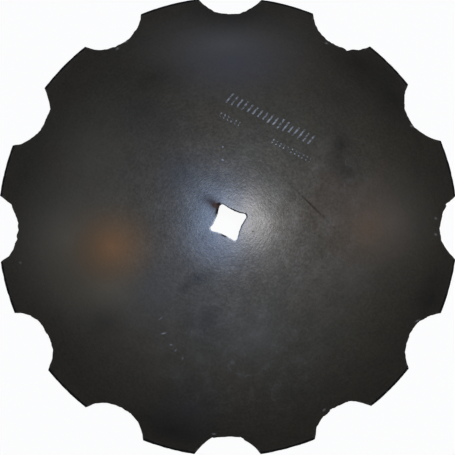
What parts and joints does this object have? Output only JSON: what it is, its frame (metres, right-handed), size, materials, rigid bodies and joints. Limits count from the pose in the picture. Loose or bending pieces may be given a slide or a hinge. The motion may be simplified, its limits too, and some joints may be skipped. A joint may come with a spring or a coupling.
{
  "type": "harrow disc blade",
  "caption": "Notched, spherically dished steel disc blade for a disc harrow, with a bevelled cutting rim and a square axle hole; it cuts and turns soil and crop trash.",
  "frame": {"origin": "on the disc's axis, in the plane of the tooth tips that it lies on", "axes": "+Z along the disc's axis out of the domed side; +X and +Y square to the sides of the axle hole"},
  "size_m": [0.6098, 0.6098, 0.0855],
  "materials": {
    "blade_steel": "dark heat-treatment scale under a thin oil film, satin, with faint brown stains"
  },
  "bodies": {
    "root": {"disc_blade": "blade_steel"}
  },
  "joints": []
}
